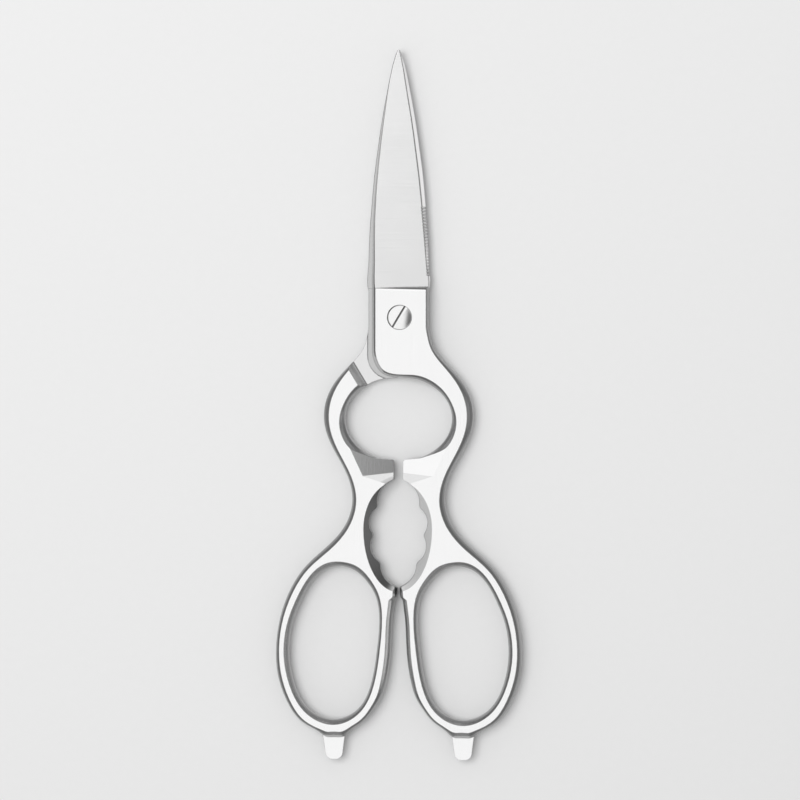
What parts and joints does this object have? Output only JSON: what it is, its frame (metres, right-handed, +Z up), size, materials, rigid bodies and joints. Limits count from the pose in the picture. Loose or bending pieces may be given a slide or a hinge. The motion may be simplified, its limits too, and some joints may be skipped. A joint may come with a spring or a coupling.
{
  "type": "kitchen shears",
  "caption": "All-steel multi-purpose kitchen shears with a slotted pivot screw, a bottle opener and nutcracker jaws between the handles, oval finger loops and screwdriver tabs.",
  "frame": {"origin": "on the pivot axis, in the plane the shears lie on", "axes": "+Z up out of the resting plane and along the pivot axis, +Y from the handles to the blade tips, +X towards the half whose blade is on top"},
  "size_m": [0.0708, 0.2032, 0.0064],
  "materials": {
    "steel": "satin, finely brushed stainless steel"
  },
  "bodies": {
    "lower_half": {"lower_half": "steel", "pivot_screw": "steel"},
    "upper_half": {"upper_half": "steel"}
  },
  "joints": [
    {"name": "blade_pivot", "type": "hinge", "parent": "lower_half", "child": "upper_half", "pos_m": [0, 0, 0.0032], "axis": [0, 0, 1], "range_deg": [0, 100]}
  ]
}
